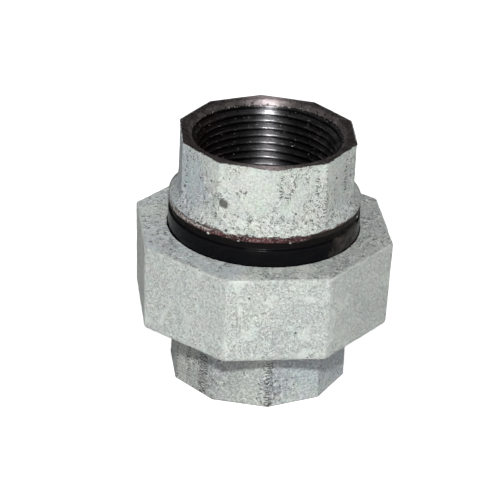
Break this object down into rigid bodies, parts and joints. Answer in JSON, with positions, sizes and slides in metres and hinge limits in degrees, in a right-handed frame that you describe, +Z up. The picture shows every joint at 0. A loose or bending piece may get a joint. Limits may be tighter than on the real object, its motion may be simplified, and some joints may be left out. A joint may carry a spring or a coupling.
{
  "type": "pipe union",
  "caption": "Straight flat-seat pipe union: two socket ends drawn together by an eight-sided union nut over a sealing washer.",
  "frame": {"origin": "centre of the lower socket end's face, which the fitting stands on", "axes": "+Z up the waterway, from the lower socket to the upper one; -Y faces a flat of the nut"},
  "size_m": [0.0712, 0.0712, 0.0747],
  "materials": {
    "galvanised_iron": "hot-dip galvanised casting, turned surfaces left bare",
    "washer_rubber": "matte sheet rubber"
  },
  "bodies": {
    "body": {"threaded_body": "galvanised_iron"},
    "washer": {"sealing_washer": "washer_rubber"},
    "tail": {"tail_piece": "galvanised_iron"},
    "nut": {"union_nut": "galvanised_iron"}
  },
  "joints": [
    {"name": "nut_lift", "type": "slide", "parent": "body", "child": "washer", "axis": [0, 0, 1], "range_m": [0, 0.0139]},
    {"name": "nut_turn", "type": "hinge", "parent": "washer", "child": "nut", "pos_m": [0, 0, 0.033], "axis": [0, 0, 1], "range_deg": [0, 2160]},
    {"name": "tail_swivel", "type": "hinge", "parent": "washer", "child": "tail", "pos_m": [0, 0, 0.055], "axis": [0, 0, 1], "continuous": true}
  ],
  "couplings": [
    {"joint": "nut_lift", "follows": "nut_turn", "m_per_rad": 0.00036749}
  ]
}
